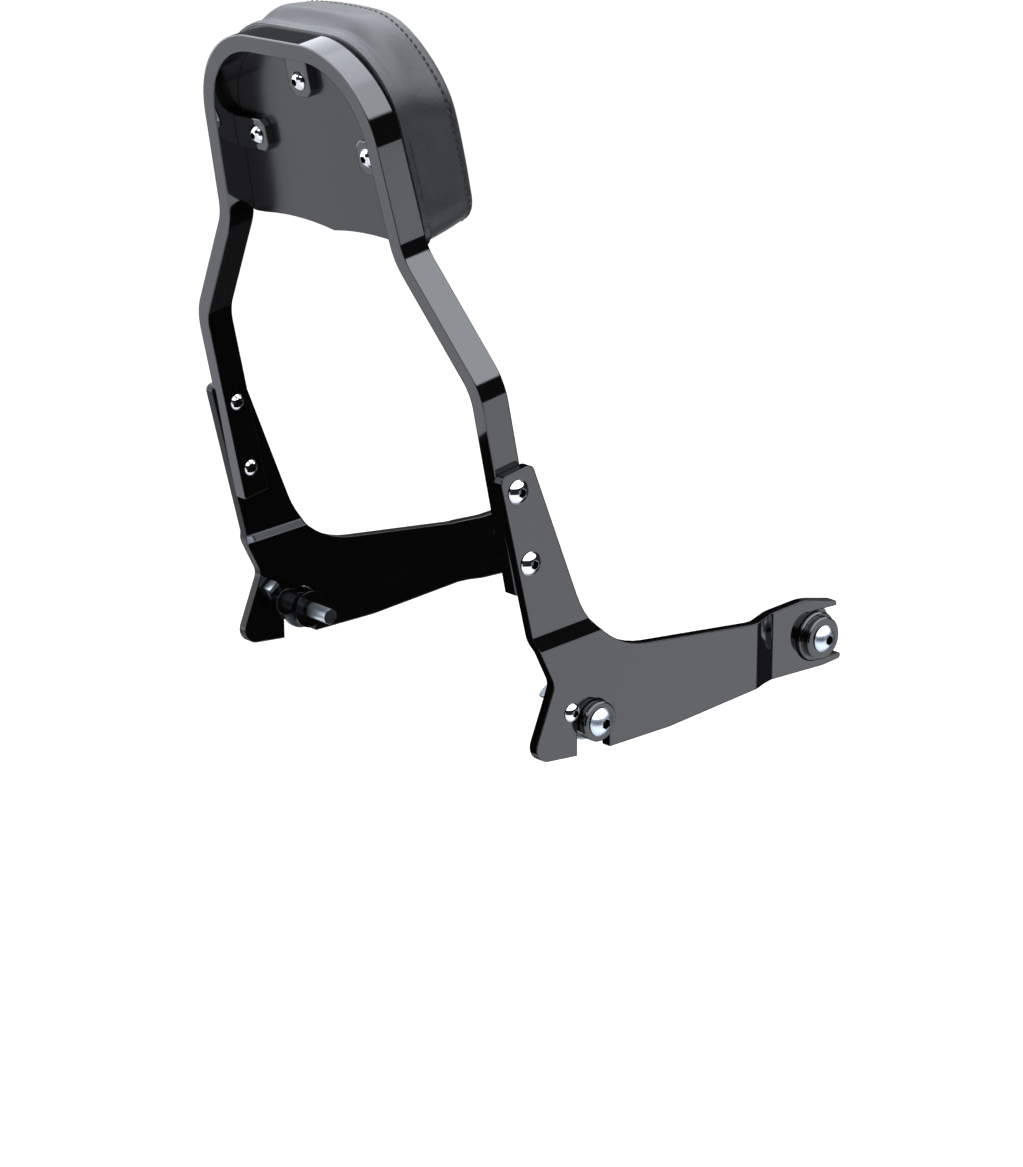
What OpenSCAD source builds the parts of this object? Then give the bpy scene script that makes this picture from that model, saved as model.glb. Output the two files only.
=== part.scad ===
// Sissy bar: a flat-bar loop with a back pad, on two detachable side plates.
// Origin: midway between the two front docking bolts, on the centre plane.
// +X to the rider's right, +Y forward, +Z up. Millimetres.

/* [Loop] */
// Thickness of the flat bar, in the plane of the loop
bar_t = 9.5; // [8:0.25:12]
// Depth of the flat bar, front to back
bar_d = 17.5; // [15:0.25:22]
// Backward lean of the loop, in degrees
lean = 11.9; // [6:0.1:16]
// Half width between the legs' centrelines
leg_half = 128.6; // [122:0.2:136]
// Length of the legs below the lower bend
leg_down = 120; // [114:1:130]
// Half width between the centrelines at the waist
waist_half = 80.7; // [76:0.1:86]
// Height of the waist above the lower bend
waist_up = 69.3; // [62:0.1:76]
// Half width at the top corners, before rounding
top_half = 71; // [67:0.5:75]
// Height of the top centreline above the lower bend
top_up = 178.5; // [168:0.5:195]
// Centreline radius of the lower bends and the waist bends
bend_r = 32; // [26:1:38]
// Centreline radius of the top corners
corner_r = 51; // [42:1:55]
// How far the lower bends stand behind the front docking bolts
loop_back = 245; // [235:1:255]
// How far the lower bends stand above the front docking bolts
loop_rise = 188.5; // [180:0.5:196]

/* [Pad] */
// Thickness of the tabs that carry the pad
tab_t = 4.75; // [3:0.25:6]
// Width of a tab
tab_w = 19; // [16:0.5:24]
// Clipped corner at a tab's free end
tab_clip = 4; // [2:0.5:6]
// Distance from the screw to a tab's free end
tab_end = 9; // [8:0.5:12]
// Distance from the top centreline down to the top pad screw
top_screw_down = 22.5; // [18:0.5:28]
// Height of the side pad screws above the lower bend
side_screw_up = 118.5; // [112:0.5:124]
// Distance from the middle to a side pad screw
side_screw_out = 51.3; // [48:0.1:56]
// Thickness of the pad's back panel
panel_t = 4; // [3:0.5:6]
// How far the panel reaches past the loop's outer face
panel_over = 0.6; // [0:0.1:2]
// How far the cushion reaches past the loop's outer face
cushion_over = 1.8; // [0.5:0.1:4]
// Depth of the cushion at its middle, in front of the panel
cushion_d = 49; // [40:1:60]
// Radius of the cushion's crowned front
crown_r = 290; // [240:5:400]
// Corner radius at the top of the pad
pad_top_r = 52; // [44:1:56]
// Corner radius at the bottom of the pad
pad_low_r = 13; // [8:1:20]
// Height of the pad's lower edge above the lower bend
pad_low = 67.3; // [60:0.1:76]
// Rise of the two shallow arches along the pad's lower edge
pad_arch = 2.9; // [1:0.1:6]
// Radius of a tee nut's barrel, in the panel
tee_barrel_r = 4.2; // [3.8:0.1:5]
// Radius of a tee nut's flange, in the foam
tee_flange_r = 9; // [7:0.5:10]
// Thickness of that flange
tee_flange_t = 1.2; // [1:0.1:2]
// How far a pad screw reaches past the panel
pad_screw_end = 6; // [4:0.5:10]

/* [Side plates] */
// Thickness of a side plate
plate_t = 6.35; // [5:0.05:8]
// How far the main web stands outside the arm
web_out = 3.5; // [2.5:0.25:4.5]
// How far the front fork stands inside the main web
fork_in = 5.2; // [3.8:0.2:6]
// Bend angle of the step between arm and web, in degrees
arm_bend_a = 24; // [22:1:30]
// Bend radius of that step, at mid thickness
arm_bend_r = 8; // [6:0.5:9]
// Slope of that step's bend lines, in degrees
arm_bend_tilt = 5.5; // [0:0.5:10]
// Height of that step above the rear docking bolt
arm_bend_up = 55; // [50:0.5:58]
// Bend angle of the step between web and fork, in degrees
fork_bend_a = 18; // [17:1:24]
// Bend radius of that step, at mid thickness
fork_bend_r = 15; // [10:0.5:18]
// Centre of that step, behind the front docking bolt
fork_bend_y = 44; // [40:0.5:48]
// Reach of the arm behind the leg's centreline
arm_back = 10.3; // [9.8:0.1:14]
// Reach of the arm in front of the leg's centreline, at its top
arm_front = 12.8; // [11:0.1:16]
// Distance from the lower bend down to the arm's top
arm_top = 47.3; // [40:0.1:50]
// Fillet between the arm and the web
arm_fillet = 60; // [40:1:70]
// Where the arm's front edge meets the web, in front of the rear docking bolt
root_fore = 4; // [0:1:8]
// Where the arm's front edge meets the web, above the rear docking bolt
root_up = 40; // [36:1:46]
// Lowest place of the web's upper edge, behind the front docking bolt
dip_back = 55; // [50:1:60]
// Lowest place of the web's upper edge, above the front docking bolt
dip_up = 19.4; // [18:0.1:22]
// Crest of the fork's upper edge, behind the front docking bolt
crest_back = 8; // [5:1:12]
// Crest of the fork's upper edge, above the front docking bolt
crest_up = 23.8; // [22:0.1:26]
// Reach of the fork's upper tine past the front docking bolt
upper_tine = 17.5; // [16:0.5:20]
// Reach of the fork's lower tine past the front docking bolt
lower_tine = 22.5; // [20:0.5:26]
// Wall of the upper tine at its tip
upper_wall = 3.2; // [2.5:0.1:5]
// Wall of the lower tine at its tip
lower_wall = 3; // [2.5:0.1:4]
// Wall under the fork's slot
slot_wall = 4.8; // [4:0.1:7]
// Length of the wall under the slot, behind the front docking bolt
slot_wall_back = 45; // [40:1:50]
// Where that wall starts to drop to the lower tine's tip
slot_wall_fore = 8; // [5:1:12]
// Where the lower edge turns down to the notch, in front of the rear bolt
belly_fore = 58; // [50:1:64]
// Depth of the lower edge there, below the rear docking bolt
belly_down = 17.7; // [16:0.1:20]
// Depth of the plate's feet beside the notch, below the rear docking bolt
foot_down = 19.2; // [17:0.1:22]
// Reach of the heel behind the rear docking bolt
heel_back = 46; // [42:1:50]
// Depth of the heel below the rear docking bolt
heel_down = 17; // [14:1:19]
// Reach of the narrow place above the heel, behind the rear docking bolt
nape_back = 28.7; // [28:0.1:32]
// Height of the narrow place above the rear docking bolt
nape_up = 26.3; // [24:0.1:30]
// Reach of the arm's shoulder behind the rear docking bolt
shoulder_back = 41; // [38:1:46]
// Height of the arm's shoulder above the rear docking bolt
shoulder_up = 51; // [47:1:56]
// Rounding of the plate's free corners
edge_r = 4; // [2:0.5:6]
// Rounding of the heel, the nape and the shoulder
heel_r = 9; // [6:0.5:12]
// Rounding of the tines' tips
tine_r = 2; // [1:0.25:3]
// Rounding of the long edges' shallow turns
sweep_r = 40; // [20:5:60]

/* [Leg screws] */
// Distance from the lower bend down to the upper leg screw
upper_screw_down = 59; // [57:0.5:64]
// Distance between the two leg screws
leg_screw_gap = 43.3; // [38:0.1:48]
// Radius of a leg screw's shank
leg_screw_r = 3.97; // [3:0.01:4.2]
// Radius of a leg screw's head
leg_head_r = 6.95; // [6:0.05:8]
// Radius of the domed barrel nut on a leg's inner side
leg_nut_r = 4.9; // [4.8:0.05:6]
// Height of that nut
leg_nut_h = 3; // [2.4:0.1:4]
// Height of a leg screw's head
leg_head_h = 4.2; // [3.5:0.1:5]
// Width across the flats of a leg screw's hex socket
leg_socket = 4.76; // [4:0.01:5.5]
// Width across the flats of a barrel nut's hex socket
nut_socket = 2.5; // [2:0.1:3]

/* [Docking] */
// Thickness of the front bushing's base flange, between strut and fork
front_flange_t = 6.64; // [5.5:0.01:8]
// Distance between the front and the rear docking bolt
dock_gap = 180; // [170:1:190]
// How far the rear docking bolt is below the front one
dock_drop = 11.1; // [6:0.1:16]
// Half width of the front fork's slot
slot_r = 15.5; // [14:0.1:16]
// Half width of the rear notch
notch_r = 12.25; // [11:0.05:13]
// Clearance between a bushing and the slot or notch around it
dock_gap_fit = 0.5; // [0.3:0.05:1]
// How far the front bushing's barrel stands outside the fork
front_barrel_out = 3; // [2:0.5:5]
// How far the front bushing's cap stands outside the fork
front_cap_out = 8; // [6:0.5:10]
// Radius of the front bushing's cap
front_cap_r = 13; // [11:0.5:13.5]
// Radius of the front bushing's base flange
front_flange_r = 19; // [17:0.5:20]
// How far the rear bushing stands outside the web
rear_out = 6.2; // [4:0.1:8]
// Radius of the rear bushing's neck, which the latch hooks
neck_r = 8; // [7:0.1:8.5]
// Thickness of the rear bushing's base flange
rear_flange_t = 2; // [1.5:0.1:2.1]
// Width and depth of the groove round the rear bushing
groove_w = 0.7; // [0.5:0.1:1]
// How far that groove is outside the web
groove_out = 2.8; // [2:0.1:3.5]
// Chamfer of the bushings' outer edges
bushing_chamfer = 0.8; // [0.4:0.1:1.2]
// Radius of a docking bolt's shank
bolt_r = 4.76; // [4:0.01:5]
// Radius of a docking bolt's head
bolt_head_r = 8.35; // [7.5:0.05:9]
// Height of a docking bolt's head
bolt_head_h = 5.3; // [4:0.1:6]
// Width across the flats of a docking bolt's hex socket
bolt_socket = 5.56; // [5:0.01:6]
// How far a docking bolt reaches inward past the docking face
bolt_reach = 20; // [12:1:30]

/* [Latch] */
// Distance from the rear docking bolt back to the latch's pivot
pivot_back = 16; // [15.5:0.1:17]
// Height of the latch's pivot above the rear docking bolt
pivot_up = 7.5; // [7:0.1:9]
// Thickness of the latch plate
latch_t = 3; // [2:0.1:3.4]
// Gap between the latch and what it slides past
latch_gap = 0.3; // [0.3:0.05:0.5]
// Width of the latch's hook
hook_w = 5.5; // [4:0.1:6.5]
// Angle at which the hook ends under the bushing, in degrees
hook_end = 274; // [262:1:284]
// Radius of the latch's eye
eye_r = 7; // [6:0.1:7.5]
// Reach of the latch's lever behind the rear docking bolt
lever_back = 26; // [24:0.5:27]
// Height of the lever's end above the rear docking bolt
lever_up = 19.5; // [17:0.5:22]
// Width of the lever at its end
lever_w = 7; // [5:0.5:8]
// Width of the lever at the eye
lever_root_w = 11.5; // [9:0.5:13]
// Depth of the lip at the lever's end
lip_d = 5; // [3:0.5:5.5]
// Thickness of that lip
lip_t = 2.5; // [2:0.1:3]
// Radius of the pivot screw's shoulder
shoulder_r = 3.95; // [3.5:0.05:4.2]
// Radial running clearance on that shoulder
shoulder_fit = 0.06; // [0.02:0.01:0.1]
// Radius of a small screw's shank, for the pad and the latch pivots
small_screw_r = 3.17; // [2.8:0.01:3.3]
// Radius of a small screw's head
small_head_r = 5.55; // [5:0.05:6]
// Height of a small screw's head
small_head_h = 3.4; // [2.8:0.1:4]
// Width across the flats of a small screw's hex socket
small_socket = 4; // [3:0.1:4.5]
// Radius of the cap over the latch spring
cap_r = 8.5; // [8:0.1:8.8]
// Diameter of the spring's wire
wire_d = 1; // [0.6:0.1:1.2]
// Number of turns in the spring
spring_turns = 3; // [2:1:3]
// Wall of the cap
cap_wall = 1; // [0.8:0.1:1.4]
// Radius of the cap's boss, which the spring winds round
boss_r = 4.5; // [4:0.1:4.8]

/* [Hidden] */

$fn = 64;
black = [0.03, 0.03, 0.035];
chrome = [0.85, 0.86, 0.88];
zinc = [0.8, 0.85, 0.9];
leather = [0.12, 0.12, 0.14];
panel_grey = [0.3, 0.3, 0.33];

// Degrees of a rounded corner that one flat of its outline spans
corner_step = 6;
// Degrees of a plate's stepped bend that one flat of its face spans
sheet_step = 3;
// Flats in one of the pad's shallow arches
arch_steps = 8;
// Largest share of the shorter side next to it that a rounding takes up
round_share = 0.6;
// Share of a screw head's height that its straight rim takes up
rim_share = 0.12;
// Share of a screw head's height that lies under its socket
floor_share = 0.4;
// Clearance round a screw that passes through a plate
screw_clear = 0.15;
// Slack that makes a cut run past the face it opens
past = 1;
// Overlap that knits a straight run to a bend
knit = 0.1;
// Step that keeps two joined faces from lying in one plane
hair = 0.01;

// Points of the loop's right half, as [half width, height]
leg_foot = [leg_half, -leg_down];
low_bend = [leg_half, 0];
waist_bend = [waist_half, waist_up];
top_corner = [top_half, top_up];
top_middle = [0, top_up];

// Places across the part, measured from the centre plane
arm_in_x = leg_half + bar_t / 2;
leg_in_x = leg_half - bar_t / 2;
arm_mid_x = arm_in_x + plate_t / 2;
arm_out_x = arm_in_x + plate_t;
web_in_x = arm_in_x + web_out;
web_out_x = web_in_x + plate_t;
// The fork's half is a hair thicker each side, to knit with the arm's half
fork_t = plate_t + 2 * hair;
fork_in_x = web_in_x - fork_in - hair;
fork_out_x = fork_in_x + fork_t;
dock_half = fork_in_x - front_flange_t;
latch_out_x = web_in_x - latch_gap;
latch_in_x = latch_out_x - latch_t;
cap_out_x = latch_in_x - latch_gap;
cap_in_x = dock_half + rear_flange_t + latch_gap;
rear_face_x = web_out_x + rear_out;
front_face_x = fork_out_x + front_cap_out;

// The rear docking bolt and the latch's pivot, as [Y, Z]
rear_dock = [-dock_gap, -dock_drop];
pivot = rear_dock + [-pivot_back, pivot_up];
lever_end = rear_dock + [-lever_back, lever_up];
leg_origin = [-loop_back, loop_rise];

// Faces of the pad's layers, measured forward from the bar's middle
panel_back_n = bar_d / 2;
panel_front_n = panel_back_n + panel_t;
cushion_front_n = panel_front_n + cushion_d;

front_barrel_r = slot_r - dock_gap_fit;
rear_barrel_r = notch_r - dock_gap_fit;
hook_in_r = neck_r + latch_gap;
top_screw_up = top_up - top_screw_down;
leg_screw_downs = [upper_screw_down, upper_screw_down + leg_screw_gap];
// How far a leg screw's end reaches into its barrel nut
nut_bite = 0.3 * leg_nut_h;

function unit(v) = v / norm(v);
function turned(v) = [-v[1], v[0]];
function polar(r, a) = [r * cos(a), r * sin(a)];
function heading(v) = atan2(v[1], v[0]);
function wrapped(a) = a > 180 ? a - 360 : a < -180 ? a + 360 : a;
function last(list) = len(list) - 1;

// Point at height s and forward distance n on a leg, as [Y, Z]
function leg_point(s, n) = leg_origin
    + s * [-sin(lean), cos(lean)] + n * [cos(lean), sin(lean)];

// Half of the angle at b, and the centre of a rounding of radius r there
function half_angle(a, b, c) = acos(max(-1, min(1, unit(a - b) * unit(c - b)))) / 2;
function round_centre(a, b, c, r) =
    b + unit(unit(a - b) + unit(c - b)) * r / sin(half_angle(a, b, c));

// Points of a corner at b, between a and c, rounded to radius r where it fits
function corner(a, b, c, r) =
    let (
        flat = 1 / tan(half_angle(a, b, c)),
        fit = min(r, round_share * min(norm(a - b), norm(c - b)) / flat),
        centre = round_centre(a, b, c, fit),
        from = heading(b + unit(a - b) * fit * flat - centre),
        sweep = wrapped(heading(b + unit(c - b) * fit * flat - centre) - from),
        steps = max(1, ceil(abs(sweep) / corner_step))
    )
    [for (i = [0:steps]) centre + polar(fit, from + sweep * i / steps)];

// Points of an arc round a centre, between two angles
function arc(centre, r, from, to) =
    let (steps = ceil(abs(to - from) / sheet_step))
    [for (i = [0:steps]) centre + polar(r, from + (to - from) * i / steps)];

// Closed outline through vertices given as [x, y, corner radius]
function rounded(v) = [
    for (i = [0:last(v)])
        let (
            a = v[(i + last(v)) % len(v)],
            b = v[i],
            c = v[(i + 1) % len(v)]
        )
        each b[2] == 0 ? [[b[0], b[1]]]
            : corner([a[0], a[1]], [b[0], b[1]], [c[0], c[1]], b[2])
];

// Half of the turn in a path at b, and the length that its bend takes up
function half_turn(a, b, c) = abs(wrapped(heading(c - b) - heading(b - a))) / 2;
function bend_take(a, b, c, r) = r * tan(half_turn(a, b, c));

// Moves children into the loop's plane: x across, y up it, z backward
module in_loop() {
    translate([0, leg_origin[0], leg_origin[1]]) rotate([90 + lean, 0, 0]) children();
}

// Places children on an axis along X, with their z axis pointing outboard
module on_axis(p, x = 0) {
    translate([x, p[0], p[1]]) rotate([0, 90, 0]) children();
}

// Mirrors what is drawn for the right side to the left where asked
module on_side(side) {
    mirror([side == "left" ? 1 : 0, 0, 0]) children();
}

// Extrudes an outline drawn as [Y, Z] from x0 to x1
module prism_x(x0, x1) {
    translate([x0, 0, 0]) rotate([90, 0, 90]) linear_extrude(height = x1 - x0) children();
}

// Domed screw head with a hex socket, standing on z = 0
module button_head(r, h, socket) {
    dome = h * (1 - rim_share);
    ball_r = (r * r + dome * dome) / (2 * dome);
    difference() {
        intersection() {
            cylinder(r = r, h = h);
            translate([0, 0, h - ball_r]) sphere(r = ball_r);
        }
        translate([0, 0, h * floor_share]) cylinder(d = socket / cos(30), h = h, $fn = 6);
    }
}

// Sector of a bent strip of mid radius r, a degrees wide from the angle "from"
module bend_sector(r, t, a, from) {
    far = 2 * (r + t);
    intersection() {
        difference() {
            circle(r = r + t / 2, $fn = 256);
            circle(r = r - t / 2, $fn = 256);
        }
        polygon([[0, 0], polar(far, from), polar(far, from + a)]);
    }
}

// Straight run of a strip from a to b, run on a hair to knit with its bends
module strip_run(a, b, t) {
    translate(a) rotate(heading(b - a)) translate([-knit, -t / 2])
        square([norm(b - a) + 2 * knit, t]);
}

// Bend of a strip at b, on the way from a to c
module strip_bend(a, b, c, r, t) {
    turn = wrapped(heading(c - b) - heading(b - a));
    side = turn > 0 ? 1 : -1;
    start = b - unit(b - a) * bend_take(a, b, c, r);
    centre = start + side * r * turned(unit(b - a));
    translate(centre)
        bend_sector(r, t, abs(turn), heading(start - centre) + min(turn, 0));
}

// Right half of the bar's outline in the loop's plane
module half_loop() {
    low_take = bend_take(leg_foot, low_bend, waist_bend, bend_r);
    waist_take = bend_take(low_bend, waist_bend, top_corner, bend_r);
    top_take = bend_take(waist_bend, top_corner, top_middle, corner_r);
    slope = unit(waist_bend - low_bend);
    rise = unit(top_corner - waist_bend);
    strip_run(leg_foot, low_bend - [0, low_take], bar_t);
    strip_bend(leg_foot, low_bend, waist_bend, bend_r, bar_t);
    strip_run(low_bend + slope * low_take, waist_bend - slope * waist_take, bar_t);
    strip_bend(low_bend, waist_bend, top_corner, bend_r, bar_t);
    strip_run(waist_bend + rise * waist_take, top_corner - rise * top_take, bar_t);
    strip_bend(waist_bend, top_corner, top_middle, corner_r, bar_t);
    strip_run(top_corner - [top_take, 0], top_middle, bar_t);
}

module loop_bar() {
    color(black) difference() {
        in_loop() linear_extrude(height = bar_d, center = true) {
            half_loop();
            mirror([1, 0]) half_loop();
        }
        for (down = leg_screw_downs)
            on_axis(leg_point(-down, 0), -arm_out_x)
                cylinder(r = leg_screw_r + screw_clear, h = 2 * arm_out_x);
    }
}

// Half width of the loop's upper legs at height s, grown by d
rise_dir = unit(top_corner - waist_bend);
function leg_x(s, d) = waist_half + (s - waist_up) * rise_dir[0] / rise_dir[1] + d / rise_dir[1];

// Half width at height s of the bar's inner edge, straight and then round
top_round = round_centre(waist_bend, top_corner, top_middle, corner_r);
inner_r = corner_r - bar_t / 2;
function inner_x(s) = s < top_round[1] - inner_r * rise_dir[0]
    ? leg_x(s, -bar_t / 2)
    : top_round[0] + sqrt(max(0, inner_r * inner_r - pow(s - top_round[1], 2)));

// A tab in the loop's plane, drawn at the bar's front edge, with its screw hole
module tab_plate(outline, screw) {
    in_loop() difference() {
        translate([0, 0, -panel_back_n]) linear_extrude(height = tab_t) polygon(outline);
        translate([screw[0], screw[1], -panel_back_n - past])
            cylinder(r = small_screw_r + screw_clear, h = tab_t + 2 * past);
    }
}

module tab_top() {
    root = top_up - bar_t / 2;
    tip = top_screw_up - tab_end;
    half = tab_w / 2;
    color(black) tab_plate([
        [-half, root], [-half, tip + tab_clip], [-half + tab_clip, tip],
        [half - tab_clip, tip], [half, tip + tab_clip], [half, root]
    ], [0, top_screw_up]);
}

module tab_side() {
    low = side_screw_up - tab_w / 2;
    high = side_screw_up + tab_w / 2;
    tip = side_screw_out - tab_end;
    color(black) tab_plate([
        [inner_x(low), low], [tip + tab_clip, low], [tip, low + tab_clip],
        [tip, high - tab_clip], [tip + tab_clip, high], [inner_x(high), high]
    ], [side_screw_out, side_screw_up]);
}

// Points of one shallow arch of the pad's lower edge
function arch_points(from, to) = [
    for (i = [1:arch_steps - 1])
        let (t = i / arch_steps)
        [from + (to - from) * t, pad_low + pad_arch * 4 * t * (1 - t), 0]
];

// Outline of the pad, reaching over past the loop's outer face
module pad_outline(over) {
    grown = bar_t / 2 + over;
    high = top_up + grown;
    foot_x = leg_x(waist_up, grown);
    low_x = foot_x - pad_low_r;
    polygon(rounded(concat(
        [[foot_x, pad_low, pad_low_r], [leg_x(high, grown), high, pad_top_r]],
        [[-leg_x(high, grown), high, pad_top_r], [-foot_x, pad_low, pad_low_r]],
        arch_points(-low_x, 0),
        [[0, pad_low, 0]],
        arch_points(0, low_x)
    )));
}

pad_screws = [
    [0, top_screw_up],
    [-side_screw_out, side_screw_up],
    [side_screw_out, side_screw_up]
];

module pad_back_panel() {
    color(panel_grey) in_loop() difference() {
        translate([0, 0, -panel_front_n]) linear_extrude(height = panel_t)
            pad_outline(panel_over);
        for (p = pad_screws)
            translate([p[0], p[1], -panel_front_n - past])
                cylinder(r = tee_barrel_r, h = panel_t + 2 * past);
    }
}

module pad_cushion() {
    pocket = pad_screw_end + past;
    color(leather) in_loop() difference() {
        intersection() {
            translate([0, 0, -cushion_front_n]) linear_extrude(height = cushion_d)
                pad_outline(cushion_over);
            translate([0, (pad_low + top_up) / 2, crown_r - cushion_front_n])
                sphere(r = crown_r, $fn = 96);
        }
        for (p = pad_screws)
            translate([p[0], p[1], -panel_front_n]) {
                translate([0, 0, -tee_flange_t]) cylinder(r = tee_flange_r, h = 2 * tee_flange_t);
                translate([0, 0, -pocket]) cylinder(r = tee_barrel_r, h = pocket);
            }
    }
}

// Tee nut: a barrel in the panel and a flange in the foam
module tee_nut(p) {
    color(zinc) in_loop() translate([p[0], p[1], -panel_front_n]) difference() {
        union() {
            translate([0, 0, -tee_flange_t]) cylinder(r = tee_flange_r, h = tee_flange_t);
            cylinder(r = tee_barrel_r, h = panel_t);
        }
        translate([0, 0, -2 * tee_flange_t]) cylinder(r = small_screw_r, h = 2 * panel_t);
    }
}

module pad_screw(p) {
    color(chrome) in_loop() translate([p[0], p[1], tab_t - panel_back_n]) {
        button_head(small_head_r, small_head_h, small_socket);
        shank = tab_t + panel_t + pad_screw_end;
        translate([0, 0, -shank]) cylinder(r = small_screw_r, h = shank);
    }
}

// A strip of sheet with a stepped bend: it leaves along +x at height 0 and,
// past the step at the origin, runs on along -x at the height "step"
module stepped_strip(step, a, r, t, long) {
    middle = (step - 2 * r * (1 - cos(a))) / sin(a);
    half = r * sin(a) + middle / 2 * cos(a);
    near = [half, r];
    far = [-half, step - r];
    wide = r + t / 2;
    tight = r - t / 2;
    polygon(concat(
        [[long, t / 2]], arc(near, tight, -90, -90 - a), arc(far, wide, 90 - a, 90),
        [[-long, step + t / 2], [-long, step - t / 2]],
        arc(far, tight, 90, 90 - a), arc(near, wide, -90 - a, -90), [[long, -t / 2]]
    ));
}

// Outline of a side plate as [Y, Z], with its slot and notch
module plate_outline() {
    difference() {
        polygon(rounded([
            concat(leg_point(-arm_top, -arm_back), edge_r),
            concat(leg_point(-arm_top, arm_front), edge_r),
            concat(rear_dock + [root_fore, root_up], arm_fillet),
            [-dip_back, dip_up, sweep_r],
            [-crest_back, crest_up, sweep_r],
            [upper_tine, slot_r + upper_wall, tine_r],
            [lower_tine, -slot_r - lower_wall, tine_r],
            [slot_wall_fore, -slot_r - slot_wall, sweep_r],
            [-slot_wall_back, -slot_r - slot_wall, sweep_r],
            concat(rear_dock + [belly_fore, -belly_down], sweep_r),
            concat(rear_dock + [notch_r, -foot_down], 0),
            concat(rear_dock + [-notch_r, -foot_down], 0),
            concat(rear_dock + [-heel_back, -heel_down], heel_r),
            concat(rear_dock + [-nape_back, nape_up], heel_r),
            concat(rear_dock + [-shoulder_back, shoulder_up], heel_r)
        ]));
        circle(r = slot_r);
        translate([0, -slot_r]) square([2 * slot_r, 2 * slot_r]);
        translate(rear_dock) {
            circle(r = notch_r);
            translate([-notch_r, -2 * notch_r]) square([2 * notch_r, 2 * notch_r]);
        }
    }
}

// Where the plate's two stepped halves meet, on the flat web between them
web_join = -fork_bend_y - fork_bend_r;
plate_long = 2 * (loop_back + dock_gap);

// Bent sheet with the arm's step, longer than the plate each way
module arm_sheet() {
    translate([arm_mid_x, rear_dock[0], rear_dock[1] + arm_bend_up])
        rotate([arm_bend_tilt, 0, 0])
            multmatrix([[0, 1, 0, 0], [0, 0, 1, 0], [1, 0, 0, 0], [0, 0, 0, 1]])
                translate([0, 0, -plate_long / 2]) linear_extrude(height = plate_long)
                    stepped_strip(web_out, arm_bend_a, arm_bend_r, plate_t, plate_long);
}

// Bent sheet with the fork's step
module fork_sheet() {
    translate([web_in_x + plate_t / 2, -fork_bend_y, -plate_long / 2])
        multmatrix([[0, 1, 0, 0], [-1, 0, 0, 0], [0, 0, 1, 0], [0, 0, 0, 1]])
            linear_extrude(height = plate_long) mirror([0, 1])
                stepped_strip(fork_in, fork_bend_a, fork_bend_r, fork_t, plate_long);
}

module half_plane(y0, y1) {
    translate([y0, -plate_long]) square([y1 - y0, 2 * plate_long]);
}

module side_plate() {
    inner = dock_half;
    outer = web_out_x + past;
    color(black) difference() {
        union() {
            intersection() {
                prism_x(inner, outer) intersection() {
                    plate_outline();
                    half_plane(-plate_long, web_join);
                }
                arm_sheet();
            }
            intersection() {
                prism_x(inner, outer) intersection() {
                    plate_outline();
                    half_plane(web_join, plate_long);
                }
                fork_sheet();
            }
        }
        for (down = leg_screw_downs)
            on_axis(leg_point(-down, 0), inner)
                cylinder(r = leg_screw_r + screw_clear, h = outer - inner);
        on_axis(pivot, inner) cylinder(r = shoulder_r + shoulder_fit, h = outer - inner);
    }
}

// Leg screw: head on the arm, shank through arm and leg into the barrel nut
module leg_screw(down) {
    color(chrome) on_axis(leg_point(-down, 0), arm_out_x) {
        button_head(leg_head_r, leg_head_h, leg_socket);
        shank = arm_out_x - leg_in_x + nut_bite;
        translate([0, 0, -shank]) cylinder(r = leg_screw_r, h = shank);
    }
}

module leg_nut(down) {
    color(chrome) on_axis(leg_point(-down, 0), leg_in_x) difference() {
        mirror([0, 0, 1]) button_head(leg_nut_r, leg_nut_h, nut_socket);
        translate([0, 0, -nut_bite]) cylinder(r = leg_screw_r, h = nut_bite + past);
    }
}

// Bushing turned from a profile of [radius, distance from the centre plane]
module turned_bushing(p, profile) {
    color(black) on_axis(p) difference() {
        rotate_extrude($fn = 96) polygon(profile);
        translate([0, 0, dock_half - past]) cylinder(r = bolt_r + screw_clear, h = 2 * rear_face_x);
    }
}

module bushing_front() {
    barrel_x = fork_out_x + front_barrel_out;
    turned_bushing([0, 0], [
        [0, dock_half], [front_flange_r, dock_half], [front_flange_r, fork_in_x],
        [front_barrel_r, fork_in_x], [front_barrel_r, barrel_x - bushing_chamfer],
        [front_barrel_r - bushing_chamfer, barrel_x], [front_cap_r, barrel_x],
        [front_cap_r, front_face_x - bushing_chamfer],
        [front_cap_r - bushing_chamfer, front_face_x], [0, front_face_x]
    ]);
}

module bushing_rear() {
    flange_x = dock_half + rear_flange_t;
    groove_x = web_out_x + groove_out;
    groove_r = rear_barrel_r - groove_w;
    turned_bushing(rear_dock, [
        [0, dock_half], [rear_barrel_r, dock_half], [rear_barrel_r, flange_x],
        [neck_r, flange_x], [neck_r, web_in_x + latch_gap],
        [rear_barrel_r, web_in_x + latch_gap], [rear_barrel_r, groove_x],
        [groove_r, groove_x], [groove_r, groove_x + groove_w],
        [rear_barrel_r, groove_x + groove_w], [rear_barrel_r, rear_face_x - bushing_chamfer],
        [rear_barrel_r - bushing_chamfer, rear_face_x], [0, rear_face_x]
    ]);
}

module dock_bolt(p, head_x) {
    color(zinc) on_axis(p, head_x) {
        button_head(bolt_head_r, bolt_head_h, bolt_socket);
        shank = head_x - dock_half + bolt_reach;
        translate([0, 0, -shank]) cylinder(r = bolt_r, h = shank);
    }
}

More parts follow.
